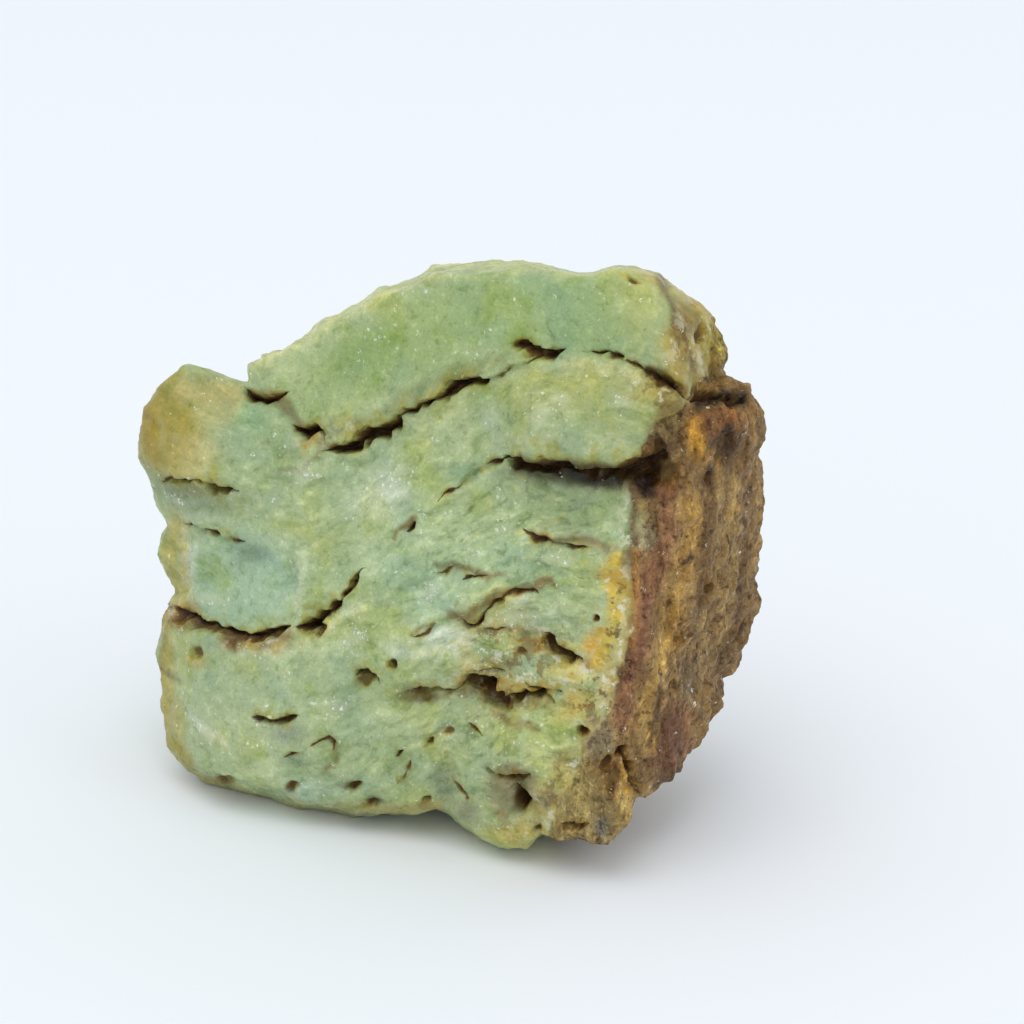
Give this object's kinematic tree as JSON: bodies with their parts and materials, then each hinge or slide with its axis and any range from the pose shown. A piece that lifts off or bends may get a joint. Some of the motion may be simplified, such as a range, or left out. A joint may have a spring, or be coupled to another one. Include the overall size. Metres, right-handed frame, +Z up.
{
  "type": "fluorite specimen",
  "caption": "Loose rough lump of massive pale green mineral, layered and cracked on its face, with a brown weathered side. Rests on its worn underside.",
  "frame": {"origin": "middle of the bottom of the box round the piece, on the ground it rests on", "axes": "+X along the long way of the piece towards the weathered side, +Y from the green face to the rear, +Z up"},
  "size_m": [0.0472, 0.0256, 0.0439],
  "materials": {
    "stone": "waxy broken stone"
  },
  "bodies": {
    "root": {"specimen": "stone"}
  },
  "joints": []
}
